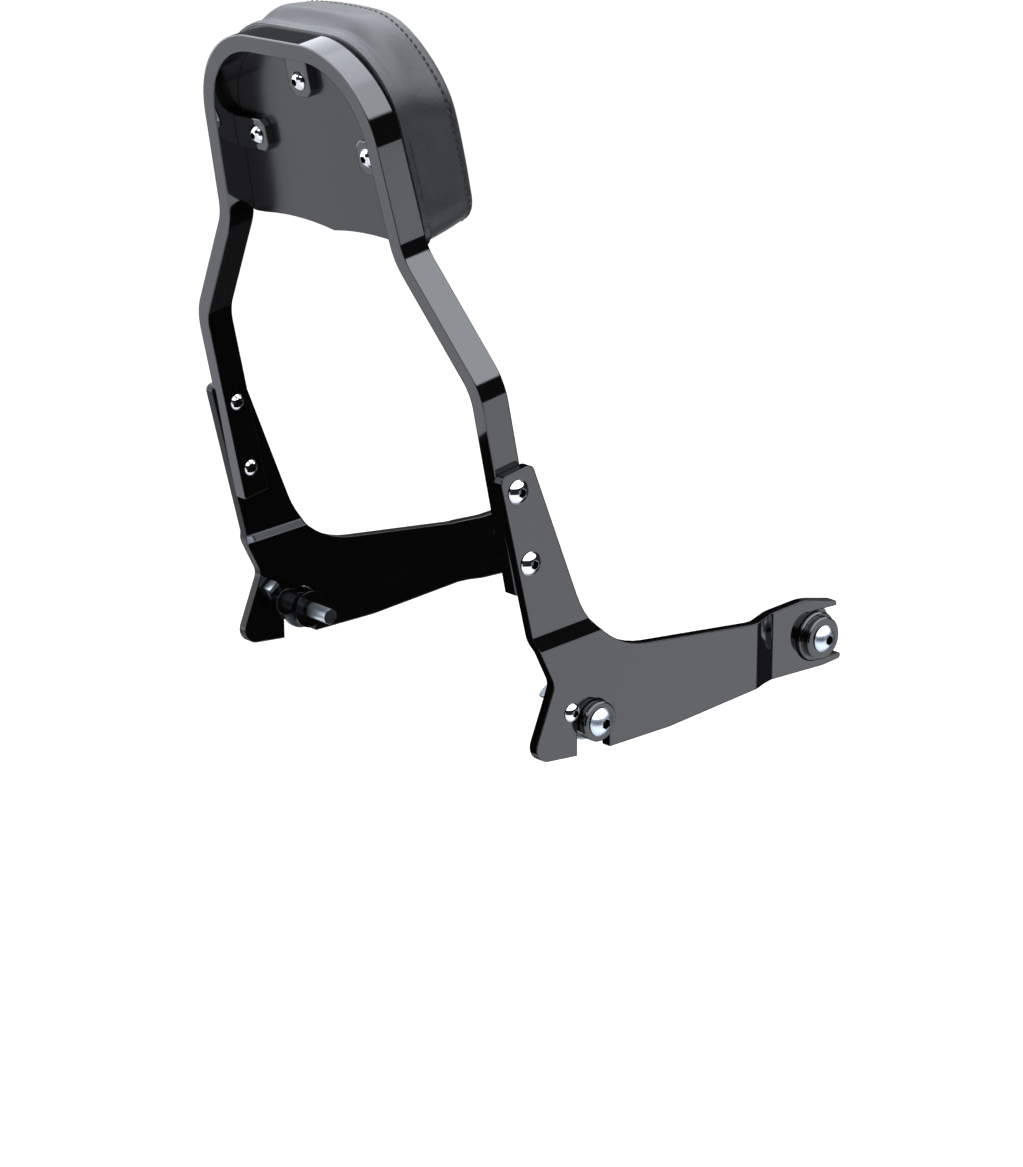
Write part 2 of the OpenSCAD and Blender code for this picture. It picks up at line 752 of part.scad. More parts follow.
// Latch: an eye on the pivot, a hook under the bushing's neck and a thumb lever
module latch_outline() {
    hook_out_r = hook_in_r + hook_w;
    far = 2 * hook_out_r;
    eye_a = heading(pivot - rear_dock);
    tip_r = hook_w / 2;
    across = turned(unit(lever_end - pivot)) / 2;
    difference() {
        union() {
            translate(pivot) circle(r = eye_r);
            translate(rear_dock) {
                intersection() {
                    circle(r = hook_out_r, $fn = 96);
                    polygon([
                        [0, 0], polar(far, eye_a), polar(far, (eye_a + hook_end) / 2),
                        polar(far, hook_end)
                    ]);
                }
                translate(polar(hook_in_r + tip_r, hook_end)) circle(r = tip_r);
            }
            polygon([
                pivot + across * lever_root_w, lever_end + across * lever_w,
                lever_end - across * lever_w, pivot - across * lever_root_w
            ]);
        }
        translate(rear_dock) circle(r = hook_in_r, $fn = 96);
        translate(pivot) circle(r = shoulder_r + shoulder_fit);
    }
}

// The latch's plate, with a lip bent inward at the lever's end
module latch() {
    color(zinc) {
        prism_x(latch_in_x, latch_out_x) latch_outline();
        translate([latch_in_x - lip_d, lever_end[0], lever_end[1]])
            rotate([heading(lever_end - pivot), 0, 0])
                translate([0, -lip_t, -lever_w / 2]) cube([lip_d + latch_t, lip_t, lever_w]);
    }
}

// Shoulder screw that the latch turns on
module latch_pivot() {
    color(chrome) on_axis(pivot) {
        translate([0, 0, web_out_x]) button_head(small_head_r, small_head_h, small_socket);
        translate([0, 0, cap_out_x]) cylinder(r = shoulder_r, h = web_out_x - cap_out_x);
        translate([0, 0, cap_in_x + past])
            cylinder(r = small_screw_r, h = cap_out_x - cap_in_x - past);
    }
}

// Round cap that holds the spring, screwed on the shoulder screw's end
module latch_cap() {
    color(black) on_axis(pivot, cap_in_x) difference() {
        cylinder(r = cap_r, h = cap_out_x - cap_in_x);
        translate([0, 0, cap_wall]) difference() {
            cylinder(r = cap_r - cap_wall, h = cap_out_x);
            cylinder(r = boss_r, h = cap_out_x);
        }
        translate([0, 0, past]) cylinder(r = small_screw_r, h = cap_out_x);
    }
}

// Torsion spring: a helix of round wire round the cap's boss
module latch_spring() {
    sides = 8;
    per_turn = 24;
    mean_r = (boss_r + cap_r - cap_wall) / 2;
    clear = latch_gap + wire_d / 2;
    start = cap_in_x + cap_wall + clear;
    long = latch_in_x - wire_d / 2 - start;
    rings = spring_turns * per_turn;
    points = [
        for (i = [0:rings], j = [0:sides - 1])
            let (
                a = 360 * i / per_turn,
                b = 360 * j / sides,
                r = mean_r + wire_d / 2 * cos(b)
            )
            [r * cos(a), r * sin(a), start + long * i / rings + wire_d / 2 * sin(b)]
    ];
    faces = [
        for (i = [0:rings - 1], j = [0:sides - 1])
            let (k = (j + 1) % sides)
            each [
                [i * sides + j, i * sides + k, (i + 1) * sides + k],
                [i * sides + j, (i + 1) * sides + k, (i + 1) * sides + j]
            ]
    ];
    ends = [
        [for (j = [0:sides - 1]) sides - 1 - j],
        [for (j = [0:sides - 1]) rings * sides + j]
    ];
    color(chrome) on_axis(pivot) polyhedron(points = points, faces = concat(faces, ends));
}

loop_bar();
tab_top();
on_side("left") tab_side();  // tab_left
on_side("right") tab_side();  // tab_right
pad_back_panel();
pad_cushion();
pad_screw(pad_screws[0]);  // pad_screw_top
pad_screw(pad_screws[1]);  // pad_screw_left
pad_screw(pad_screws[2]);  // pad_screw_right
tee_nut(pad_screws[0]);  // tee_nut_top
tee_nut(pad_screws[1]);  // tee_nut_left
tee_nut(pad_screws[2]);  // tee_nut_right
on_side("left") side_plate();  // side_plate_left
on_side("right") side_plate();  // side_plate_right
on_side("left") leg_screw(leg_screw_downs[0]);  // leg_screw_left_upper
on_side("left") leg_screw(leg_screw_downs[1]);  // leg_screw_left_lower
on_side("right") leg_screw(leg_screw_downs[0]);  // leg_screw_right_upper
on_side("right") leg_screw(leg_screw_downs[1]);  // leg_screw_right_lower
on_side("left") leg_nut(leg_screw_downs[0]);  // leg_nut_left_upper
on_side("left") leg_nut(leg_screw_downs[1]);  // leg_nut_left_lower
on_side("right") leg_nut(leg_screw_downs[0]);  // leg_nut_right_upper
on_side("right") leg_nut(leg_screw_downs[1]);  // leg_nut_right_lower
on_side("left") bushing_front();  // bushing_front_left
on_side("right") bushing_front();  // bushing_front_right
on_side("left") bushing_rear();  // bushing_rear_left
on_side("right") bushing_rear();  // bushing_rear_right
on_side("left") dock_bolt([0, 0], front_face_x);  // bolt_front_left
on_side("right") dock_bolt([0, 0], front_face_x);  // bolt_front_right
on_side("left") dock_bolt(rear_dock, rear_face_x);  // bolt_rear_left
on_side("right") dock_bolt(rear_dock, rear_face_x);  // bolt_rear_right
on_side("left") latch();  // latch_left
on_side("right") latch();  // latch_right
on_side("left") latch_pivot();  // latch_pivot_left
on_side("right") latch_pivot();  // latch_pivot_right
on_side("left") latch_spring();  // latch_spring_left
on_side("right") latch_spring();  // latch_spring_right
on_side("left") latch_cap();  // latch_cap_left
on_side("right") latch_cap();  // latch_cap_right
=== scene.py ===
import math

import bpy
import numpy as np
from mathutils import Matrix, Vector


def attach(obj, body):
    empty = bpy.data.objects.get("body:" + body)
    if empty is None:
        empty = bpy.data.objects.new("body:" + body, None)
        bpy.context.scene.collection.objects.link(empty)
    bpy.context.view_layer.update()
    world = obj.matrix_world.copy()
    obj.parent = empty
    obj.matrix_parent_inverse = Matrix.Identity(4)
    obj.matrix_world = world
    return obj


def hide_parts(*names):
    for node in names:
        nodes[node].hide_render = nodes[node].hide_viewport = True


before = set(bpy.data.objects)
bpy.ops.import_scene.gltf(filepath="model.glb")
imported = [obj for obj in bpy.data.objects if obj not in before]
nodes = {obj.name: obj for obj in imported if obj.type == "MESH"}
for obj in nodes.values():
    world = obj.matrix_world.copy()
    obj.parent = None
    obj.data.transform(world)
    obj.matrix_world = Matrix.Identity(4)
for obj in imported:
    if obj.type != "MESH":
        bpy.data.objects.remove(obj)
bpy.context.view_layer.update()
scene = bpy.context.scene
scene.view_settings.view_transform = "Standard"

# Places in the loop's plane, in millimetres, as in the CAD source
LEAN = math.radians(11.9)
LOOP_ORIGIN = (0.0, -245.0, 188.5)
WAIST_HALF, WAIST_UP = 80.7, 69.3
TOP_HALF, TOP_UP = 71.0, 178.5
BAR_T, BAR_D, PANEL_T = 9.5, 17.5, 4.0
COVER_OVER = 1.8
PAD_TOP_R, PAD_LOW_R, PAD_LOW, PAD_ARCH = 52.0, 18.0, 67.3, 2.9
CROWN_R, CUSHION_D = 290.0, 49.0
PANEL_FRONT = BAR_D / 2 + PANEL_T
CUSHION_FRONT = PANEL_FRONT + CUSHION_D
PAD_MIDDLE = np.array([0.0, (PAD_LOW + TOP_UP) / 2])


def loop_points(x, s, n):
    """Points at x across, s up the loop and n forward of it, in metres in the row frame."""
    x, s, n = np.broadcast_arrays(x, s, n)
    y = LOOP_ORIGIN[1] - math.sin(LEAN) * s + math.cos(LEAN) * n
    z = LOOP_ORIGIN[2] + math.cos(LEAN) * s + math.sin(LEAN) * n
    return np.stack([x, y, z], -1) / 1000


# ---------------------------------------------------------------- materials

def new_material(name):
    mat = bpy.data.materials.new(name)
    mat.use_nodes = True
    tree = mat.node_tree
    return mat, tree, tree.nodes["Principled BSDF"]


def add(tree, kind, **sockets):
    node = tree.nodes.new(kind)
    for key, value in sockets.items():
        node.inputs[key.replace("_", " ")].default_value = value
    return node


def ramp(tree, source, low, high):
    """Maps source from 0..1 to low..high."""
    node = add(tree, "ShaderNodeMapRange", To_Min=low, To_Max=high)
    tree.links.new(source, node.inputs["Value"])
    return node.outputs["Result"]


def rounded_edges(tree, radius):
    node = add(tree, "ShaderNodeBevel", Radius=radius)
    node.samples = 8
    return node.outputs["Normal"]


def bump(tree, height, strength, distance, normal=None):
    node = add(tree, "ShaderNodeBump", Strength=strength, Distance=distance)
    tree.links.new(height, node.inputs["Height"])
    if normal is not None:
        tree.links.new(normal, node.inputs["Normal"])
    return node.outputs["Normal"]


def noise(tree, scale, detail=3.0, rough=0.5):
    coord = tree.nodes.new("ShaderNodeTexCoord")
    node = add(tree, "ShaderNodeTexNoise", Scale=scale, Detail=detail, Roughness=rough)
    tree.links.new(coord.outputs["Object"], node.inputs["Vector"])
    return node.outputs["Fac"]


def tinted(tree, source, dark, light, shader):
    node = tree.nodes.new("ShaderNodeMix")
    node.data_type = "RGBA"
    node.inputs["A"].default_value = (*dark, 1)
    node.inputs["B"].default_value = (*light, 1)
    tree.links.new(source, node.inputs["Factor"])
    tree.links.new(node.outputs["Result"], shader.inputs["Base Color"])


def gloss_black(name, edge=0.0012, low=0.035, high=0.07, dull_cuts=False):
    """Gloss paint; with dull_cuts the edges cut from flat stock mirror less than the flat faces."""
    mat, tree, shader = new_material(name)
    shader.inputs["IOR"].default_value = 1.8
    if dull_cuts:
        axes = tree.nodes.new("ShaderNodeSeparateXYZ")
        tree.links.new(tree.nodes.new("ShaderNodeNewGeometry").outputs["Normal"], axes.inputs[0])
        across = tree.nodes.new("ShaderNodeMath")
        across.operation = "ABSOLUTE"
        tree.links.new(axes.outputs["X"], across.inputs[0])
        flat = add(tree, "ShaderNodeMapRange", From_Min=0.5, From_Max=0.8, To_Min=0.08, To_Max=0.5)
        tree.links.new(across.outputs[0], flat.inputs["Value"])
        tree.links.new(flat.outputs["Result"], shader.inputs["Specular IOR Level"])
    wide = noise(tree, 22)
    tinted(tree, wide, (0.0022, 0.0022, 0.0024), (0.0036, 0.0036, 0.0038), shader)
    tree.links.new(ramp(tree, wide, low, high), shader.inputs["Roughness"])
    tree.links.new(rounded_edges(tree, edge), shader.inputs["Normal"])
    return mat


def satin_panel():
    mat, tree, shader = new_material("panel_satin")
    shader.inputs["IOR"].default_value = 1.57
    wide = noise(tree, 14)
    tinted(tree, wide, (0.004, 0.004, 0.005), (0.007, 0.007, 0.008), shader)
    tree.links.new(ramp(tree, wide, 0.2, 0.25), shader.inputs["Roughness"])
    pebbled = bump(tree, noise(tree, 1500, 2), 0.1, 0.0002, rounded_edges(tree, 0.0008))
    tree.links.new(pebbled, shader.inputs["Normal"])
    return mat


def leather():
    """Fine-grained leather: cells of grain over faint creases, with a soft sheen."""
    mat, tree, shader = new_material("leather_black")
    shader.inputs["IOR"].default_value = 1.62
    coord = tree.nodes.new("ShaderNodeTexCoord")
    cells = add(tree, "ShaderNodeTexVoronoi", Scale=780.0, Randomness=0.9)
    cells.feature = "DISTANCE_TO_EDGE"
    tree.links.new(coord.outputs["Object"], cells.inputs["Vector"])
    grain = add(tree, "ShaderNodeMapRange", From_Max=0.12)
    tree.links.new(cells.outputs["Distance"], grain.inputs["Value"])
    wide = noise(tree, 30, 4)
    tinted(tree, wide, (0.002, 0.002, 0.003), (0.005, 0.005, 0.006), shader)
    shader.inputs["Sheen Weight"].default_value = 1.0
    shader.inputs["Sheen Roughness"].default_value = 0.34
    shader.inputs["Sheen Tint"].default_value = (0.92, 0.95, 1.0, 1)
    tree.links.new(ramp(tree, noise(tree, 60, 4), 0.36, 0.42), shader.inputs["Roughness"])
    creased = bump(tree, noise(tree, 240, 4), 0.12, 0.0008)
    grained = bump(tree, grain.outputs["Result"], 0.3, 0.00012, creased)
    tree.links.new(grained, shader.inputs["Normal"])
    return mat


def metal(name, color, low, high, edge=0.0002, scratch=0.03):
    """Bare or plated metal with fine scratches, and painted shade down in its sockets and other
    crevices.
    """
    mat, tree, shader = new_material(name)
    shader.inputs["Metallic"].default_value = 1.0
    wide = noise(tree, 500, 3)
    # Painted shade: ambient occlusion darkens the base colour in sockets and crevices, where shade
    # falls; it is not a colour of the metal.
    socket_painted_shade = tree.nodes.new("ShaderNodeAmbientOcclusion")
    socket_painted_shade.samples = 8
    socket_painted_shade.inputs["Distance"].default_value = 0.005
    unshaded_share = add(tree, "ShaderNodeMapRange", From_Min=0.58, From_Max=0.9)
    tree.links.new(socket_painted_shade.outputs["AO"], unshaded_share.inputs["Value"])
    tinted(tree, unshaded_share.outputs["Result"], (0.006, 0.006, 0.007), color, shader)
    tree.links.new(ramp(tree, wide, low, high), shader.inputs["Roughness"])
    scratched = bump(tree, noise(tree, 2500, 2), scratch, 0.0001, rounded_edges(tree, edge))
    tree.links.new(scratched, shader.inputs["Normal"])
    return mat


def thread():
    mat, tree, shader = new_material("thread_black")
    coord = tree.nodes.new("ShaderNodeTexCoord")
    wave = add(tree, "ShaderNodeTexWave", Scale=1400.0)
    tree.links.new(coord.outputs["Object"], wave.inputs["Vector"])
    tinted(tree, wave.outputs["Fac"], (0.003, 0.003, 0.004), (0.009, 0.009, 0.011), shader)
    shader.inputs["Roughness"].default_value = 0.75
    return mat


bar_black = gloss_black("bar_black", edge=0.0013)
plate_black = gloss_black("plate_black", dull_cuts=True)
small_black = gloss_black("bushing_black", edge=0.0005, low=0.1, high=0.16)
panel_mat = satin_panel()
leather_mat = leather()
screw_mat = metal("screw_polished", (0.78, 0.78, 0.79), 0.05, 0.1)
zinc_mat = metal("zinc_bright", (0.7, 0.76, 0.82), 0.28, 0.36)
spring_mat = metal("spring_wire", (0.5, 0.5, 0.52), 0.22, 0.32)
thread_mat = thread()


def finish_of(name):
    if name.startswith(("loop", "tab")):
        return bar_black
    if name.startswith("side_plate"):
        return plate_black
    if name.startswith(("bushing", "latch_cap")):
        return small_black
    if name.startswith(("pad_screw", "leg_screw", "leg_nut", "latch_pivot")):
        return screw_mat
    if name.startswith("latch_spring"):
        return spring_mat
    if name == "pad_back_panel":
        return panel_mat
    return zinc_mat


for name, obj in nodes.items():
    obj.data.materials.clear()
    obj.data.materials.append(leather_mat if name == "pad_cushion" else finish_of(name))


# ------------------------------------------------------------------ cushion

def leg_x(s, grown):
    """Half width of the loop's upper legs at height s, grown by that much."""
    slope = (TOP_HALF - WAIST_HALF) / (TOP_UP - WAIST_UP)
    return WAIST_HALF + (s - WAIST_UP) * slope + grown * math.hypot(1, slope)


def round_corner(a, b, c, r, steps=24):
    """Points of the arc of radius r that rounds the corner a, b, c at b."""
    u, w = (a - b) / np.linalg.norm(a - b), (c - b) / np.linalg.norm(c - b)
    half = math.acos(float(np.clip(u @ w, -1, 1))) / 2
    centre = b + (u + w) / np.linalg.norm(u + w) * r / math.sin(half)
    start, end = b + u * r / math.tan(half) - centre, b + w * r / math.tan(half) - centre
    a0 = math.atan2(start[1], start[0])
    turn = (math.atan2(end[1], end[0]) - a0 + math.pi) % (2 * math.pi) - math.pi
    angles = a0 + turn * np.linspace(0, 1, steps)
    return centre + r * np.stack([np.cos(angles), np.sin(angles)], -1)


def eased(line, passes):
    """A closed line of points with its corners softened."""
    for k in range(passes):
        line = (np.roll(line, 1, 0) + 2 * line + np.roll(line, -1, 0)) / 4
    return line


def pad_outline(count):
    """The cover's outline in even steps from the middle of its lower edge, and its length."""
    grown = BAR_T / 2 + COVER_OVER
    high = TOP_UP + grown
    foot = np.array([leg_x(WAIST_UP, grown), PAD_LOW])
    top = np.array([leg_x(high, grown), high])
    mirror = np.array([-1.0, 1.0])
    low_x = foot[0] - PAD_LOW_R
    t = np.linspace(0, 1, 40)
    arch_up = PAD_ARCH * 4 * t * (1 - t) * (1 - 0.35 * np.exp(-t / 0.06))
    arch = np.stack([low_x * t, PAD_LOW + arch_up], -1)
    right = np.concatenate([
        arch,
        round_corner(np.array([0, PAD_LOW]), foot, top, PAD_LOW_R),
        round_corner(foot, top, top * mirror, PAD_TOP_R),
    ])
    line = np.concatenate([right, right[::-1] * mirror])
    step = np.linalg.norm(np.diff(line, axis=0), axis=1)
    line = line[:-1][step > 1e-3]
    closed = np.concatenate([line, line[:1]])
    far = np.concatenate([[0], np.cumsum(np.linalg.norm(np.diff(closed, axis=0), axis=1))])
    even = np.linspace(0, far[-1], count, endpoint=False)
    line = np.stack([np.interp(even, far, closed[:, k]) for k in (0, 1)], -1)
    return eased(line, 6), far[-1]


AROUND = 232                  # points in each ring of the cover
SEAM_N = 43.0                 # the seam's place forward of the loop
BACK_N = PANEL_FRONT + 0.25   # the cover's back, just clear of the panel
RIM_N = SEAM_N + 3            # where the rounded rim's outline is taken
RIM_LOW_N = SEAM_N + 1.6      # where the rim starts to climb
RIM_IN = 15.0                 # how far in the rim reaches
RIM_POWER = 2.3               # how full its rounding is
PUFF_CAP = 0.0015             # the most that the simulation may move a point, in metres
outline, perimeter = pad_outline(AROUND)
tangent = np.roll(outline, -1, 0) - np.roll(outline, 1, 0)
tangent /= np.linalg.norm(tangent, axis=1)[:, None]
outward = np.stack([tangent[:, 1], -tangent[:, 0]], -1)


def crown(p):
    """How far forward the crowned front stands over a point of the pad."""
    far = np.linalg.norm(p - PAD_MIDDLE, axis=-1)
    return CUSHION_FRONT - CROWN_R + np.sqrt(CROWN_R ** 2 - far ** 2)


# How far the cover stands outside its outline, by its place n forward: at the crest of the top
# edge and along the sides. The top corners are drawn in, the left one with a crease behind it.
CREST = ((9.4, 11, 13, 15, 16.3, 17.6, 20, 23, 27, 32, 37, 43, 46),
         (-0.8, -0.3, 0.1, -0.2, -0.5, 0.4, 2.6, 4.6, 5.2, 4.6, 3.5, 2.0, 1.2))
FLANK = ((9.4, 11, 13, 20, 30, 43, 46), (-0.8, -0.4, -0.1, 0.5, 0.8, 0.3, 0.5))
LEFT_CORNER = ((9.4, 15, 17.6, 20, 24, 30, 43, 46), (0, 0.6, 2.6, 4.2, 5.2, 5.4, 4.2, 4.2))
RIGHT_CORNER = ((9.4, 20, 30, 43, 46), (0, 1.4, 3.0, 4.2, 4.2))
upward = np.clip(outward[:, 1], 0, 1)
crest_share = upward ** 3
corner_share = np.clip(2 * np.abs(outward[:, 0]) * upward, 0, 1) ** 1.3


def cover(n, inset=0.0):
    """The cover's ring at n forward, drawn in by inset; its lower edge climbs towards the front."""
    out = crest_share * np.interp(n, *CREST) + (1 - crest_share) * np.interp(n, *FLANK)
    left, right = np.interp(n, *LEFT_CORNER), np.interp(n, *RIGHT_CORNER)
    corner = np.where(outline[:, 0] < 0, left, right)
    near_middle = np.clip(1 - (outline[:, 0] / 32) ** 2, 0, 1)
    bulge = 1.1 * crest_share * near_middle * np.clip((n - 20) / 15, 0, 1)
    out = out + bulge - corner_share * corner - inset
    p = outline + outward * out[:, None]
    low = np.clip((PAD_LOW + 34 - p[:, 1]) / 34, 0, 1)
    side = np.clip(np.abs(p[:, 0]) / 60, 0, 1)
    forward = np.clip((n - PANEL_FRONT) / (SEAM_N - PANEL_FRONT), 0, 1.1)
    up = (0.4 * side + 3.4 * forward) * low * low
    return np.stack([p[:, 0] * (1 - (0.012 + 0.02 * low) * forward), p[:, 1] + up], -1)


rows, held = [], []


def row(p, n, hold):
    """Adds a ring of the cover at the points p, which the simulation holds by the weight hold."""
    rows.append(loop_points(p[:, 0], p[:, 1], n))
    held.append(hold)


# The back, the turned edge round the panel, the gusset, the seam's groove, the rim, the crown
for share in (0.25, 0.5, 0.75, 0.92):
    row(PAD_MIDDLE + (cover(BACK_N, 1.15) - PAD_MIDDLE) * share, np.full(AROUND, BACK_N), 1.0)
for inset, n in ((1.15, BACK_N), (1.1, 11.0), (0.3, 9.4), (0.25, 9.05), (0.05, 9.0), (0.0, 9.3)):
    row(cover(n, inset), np.full(AROUND, n), 1.0)
for n in (10.2, 11.4, 12.6, 13.8, 14.9, 15.8, 16.6, 17.4, 18.4, 19.8,
          21.5, 23.5, 26, 28.5, 31, 33.5, 36, 38.3, 40.2):
    row(cover(n), np.full(AROUND, n), 0.0)
for inset, n in ((0.0, SEAM_N - 1.5), (0.15, SEAM_N - 0.7), (0.95, SEAM_N), (0.15, SEAM_N + 0.7)):
    row(cover(n, inset), np.full(AROUND, n), 1.0)
for inset in (0.0, 0.5, 1.6, 3.2, 5.4, 8.2, 11.5, RIM_IN):
    drawn_in = inset - 0.4 * math.sin(math.pi * min(1, inset / 4))
    p = eased(cover(RIM_N, drawn_in), int(2 * inset))
    arc = (1 - (1 - inset / RIM_IN) ** RIM_POWER) ** (1 / RIM_POWER)
    row(p, RIM_LOW_N + (crown(p) - RIM_LOW_N) * arc, 0.0)
rim = eased(cover(RIM_N, RIM_IN), 30)
for share in np.linspace(0.95, 0.05, 20):
    p = PAD_MIDDLE + (rim - PAD_MIDDLE) * share
    row(p, crown(p), 0.0)

count_rows = len(rows)
verts = np.concatenate(rows)
back_pole, front_pole = len(verts), len(verts) + 1
middle = loop_points(0.0, PAD_MIDDLE[1], np.array([BACK_N, CUSHION_FRONT]))
verts = np.concatenate([verts, middle])
faces = []
for r in range(count_rows - 1):
    for i in range(AROUND):
        j = (i + 1) % AROUND
        a, b = r * AROUND, (r + 1) * AROUND
        faces.append((a + i, a + j, b + j, b + i))
for i in range(AROUND):
    j = (i + 1) % AROUND
    faces.append((back_pole, j, i))
    last = (count_rows - 1) * AROUND
    faces.append((front_pole, last + i, last + j))

mesh = bpy.data.meshes.new("cushion_cover")
mesh.from_pydata([tuple(v) for v in verts], [], faces)
mesh.update()
cushion = bpy.data.objects.new("cushion_cover", mesh)
scene.collection.objects.link(cushion)


def puff(obj, pins, cap):
    """Blows the cover up with its seam and back held, and caps how far each point moves.

    Ripples around the cover are evened out, and the middle of the front moves as one."""
    start = np.array([v.co for v in obj.data.vertices])
    group = obj.vertex_groups.new(name="held")
    for k, weight in enumerate(pins):
        group.add(list(range(k * AROUND, (k + 1) * AROUND)), weight, "REPLACE")
    group.add([back_pole], 1.0, "REPLACE")
    cloth = obj.modifiers.new("cloth", "CLOTH")
    cloth.settings.quality = 5
    cloth.settings.mass = 0.2
    cloth.settings.tension_stiffness = 12
    cloth.settings.compression_stiffness = 12
    cloth.settings.bending_stiffness = 0.4
    cloth.settings.use_pressure = True
    cloth.settings.uniform_pressure_force = 4.0
    cloth.settings.vertex_group_mass = "held"
    cloth.settings.effector_weights.gravity = 0.0
    for f in range(1, 21):
        scene.frame_set(f)
    moved = obj.evaluated_get(bpy.context.evaluated_depsgraph_get())
    end = np.array([v.co for v in moved.data.vertices])
    obj.modifiers.remove(cloth)
    scene.frame_set(1)
    way = end - start
    rings = way[:back_pole].reshape(-1, AROUND, 3)
    for k in range(24):
        rings = (np.roll(rings, 1, 1) + 2 * rings + np.roll(rings, -1, 1)) / 4
    places = start[:back_pole].reshape(-1, AROUND, 3)
    spread = np.linalg.norm(places - places.mean(1, keepdims=True), axis=2).mean(1)
    calm = np.clip(1.6 - spread / 0.032, 0, 1)[:, None, None]
    last = np.nonzero(calm[:, 0, 0] == 0)[0][-1]
    even = rings[last].mean(0)
    rings[last:] += calm[last:] * (even - rings[last:])
    way[:back_pole] = rings.reshape(-1, 3)
    way[front_pole] = even
    far = np.linalg.norm(way, axis=1)
    way *= (np.minimum(far, cap) / np.maximum(far, 1e-9))[:, None]
    obj.data.vertices.foreach_set("co", (start + way).ravel())
    obj.data.update()


puff(cushion, held, PUFF_CAP)

for poly in cushion.data.polygons:
    poly.use_smooth = True
cushion.modifiers.new("finer", "SUBSURF").levels = 1
cushion.modifiers["finer"].render_levels = 1
cushion.data.materials.append(leather_mat)
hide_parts("pad_cushion")
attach(cushion, "root")


# ---------------------------------------------------------------- stitching

def stitches(name, n, sink, length, radius, pitch, slant):
    """A row of stitches on the cover, each a short rounded thread set on the slant."""
    total = int(round(perimeter / pitch))
    at = np.arange(total) * AROUND / total
    base = np.floor(at).astype(int) % AROUND
    nxt = (base + 1) % AROUND
    part = (at - np.floor(at))[:, None]
    edge = cover(SEAM_N, sink)
    p = edge[base] * (1 - part) + edge[nxt] * part
    t = tangent[base] * (1 - part) + tangent[nxt] * part
    o = outward[base] * (1 - part) + outward[nxt] * part
    rings, sides = 6, 8
    pts, quads = [], []
    for k in range(total):
        for i in range(rings + 1):
            f = -1 + 2 * i / rings
            fat = radius * math.sqrt(max(0.02, 1 - f ** 4))
            along = f * length / 2
            lift = -0.35 * radius * f * f * 2
            for j in range(sides):
                b = 2 * math.pi * j / sides
                q = p[k] + t[k] * along + o[k] * (fat * math.cos(b) + lift)
                pts.append(loop_points(q[0], q[1], n + slant * f + fat * math.sin(b)))
        base_i = k * (rings + 1) * sides
        for i in range(rings):
            for j in range(sides):
                m = (j + 1) % sides
                a, c = base_i + i * sides, base_i + (i + 1) * sides
                quads.append((a + j, a + m, c + m, c + j))
        quads.append(tuple(base_i + j for j in reversed(range(sides))))
        quads.append(tuple(base_i + rings * sides + j for j in range(sides)))
    made = bpy.data.meshes.new(name)
    made.from_pydata([tuple(v) for v in pts], [], quads)
    made.update()
    for poly in made.polygons:
        poly.use_smooth = True
    obj = bpy.data.objects.new(name, made)
    scene.collection.objects.link(obj)
    obj.data.materials.append(thread_mat)
    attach(obj, "root")
    return obj


stitches("seam_stitches", n=SEAM_N - 0.1, sink=0.3, length=3.3, radius=0.72, pitch=4.5, slant=0.45)


# ------------------------------------------------------------------- camera

camera = bpy.data.objects.new("camera", bpy.data.cameras.new("camera"))
scene.collection.objects.link(camera)
FOCAL_PX, IMAGE_HIGH, SENSOR = 3300, 1167, 36
camera.data.lens = FOCAL_PX / IMAGE_HIGH * SENSOR
camera.data.sensor_width = SENSOR
camera.data.sensor_fit = "AUTO"
camera.data.clip_start, camera.data.clip_end = 0.05, 200
camera.location = (1.4660, -1.3426, 0.6107)
camera.rotation_mode = "QUATERNION"
camera.rotation_quaternion = Vector((-0.7343, 0.6118, -0.2940)).to_track_quat("-Z", "Y")
scene.camera = camera


# ------------------------------------------------------------------- studio

floor_mesh = bpy.data.meshes.new("floor")
floor_mesh.from_pydata([(-30, -30, 0), (30, -30, 0), (30, 30, 0), (-30, 30, 0)], [], [(0, 1, 2, 3)])
floor = bpy.data.objects.new("floor", floor_mesh)
scene.collection.objects.link(floor)
floor.location.z = -0.42
floor.visible_glossy = False
mat, tree, shader = new_material("floor_white")
shader.inputs["Base Color"].default_value = (0.86, 0.86, 0.86, 1)
shader.inputs["Roughness"].default_value = 0.9
shader.inputs["Specular IOR Level"].default_value = 0.0
shader.inputs["Emission Color"].default_value = (1, 1, 1, 1)
seen = tree.nodes.new("ShaderNodeLightPath")
glow = ramp(tree, seen.outputs["Is Camera Ray"], 0.0, 0.7)
tree.links.new(glow, shader.inputs["Emission Strength"])
floor.data.materials.append(mat)


# Black cards between the legs, which only reflections see
mat, tree, shader = new_material("card_black")
shader.inputs["Base Color"].default_value = (0.01, 0.008, 0.007, 1)
shader.inputs["Roughness"].default_value = 1.0
shader.inputs["Specular IOR Level"].default_value = 0.0
for y0, y1, z0, z1 in ((-0.29, 0.12, -0.15, 0.2),
                       (-0.4, -0.29, -0.2, 0.082),
                       (-0.2, -0.11, 0.19, 0.26)):
    card_mesh = bpy.data.meshes.new("card")
    card_mesh.from_pydata([(0, y0, z0), (0, y1, z0), (0, y1, z1), (0, y0, z1)], [], [(0, 1, 2, 3)])
    card = bpy.data.objects.new("card", card_mesh)
    scene.collection.objects.link(card)
    card.visible_camera = card.visible_diffuse = card.visible_shadow = False
    card.data.materials.append(mat)


def softbox(name, place, target, size, watts):
    """A square lamp that lights without being mirrored; the world holds what gloss mirrors."""
    lamp = bpy.data.lights.new(name, "AREA")
    lamp.shape = "SQUARE"
    lamp.size = size
    lamp.energy = watts
    obj = bpy.data.objects.new(name, lamp)
    scene.collection.objects.link(obj)
    obj.location = place
    obj.rotation_mode = "QUATERNION"
    obj.rotation_quaternion = (Vector(target) - Vector(place)).to_track_quat("-Z", "Y")
    obj.visible_glossy = False
    obj.visible_camera = False
    return obj


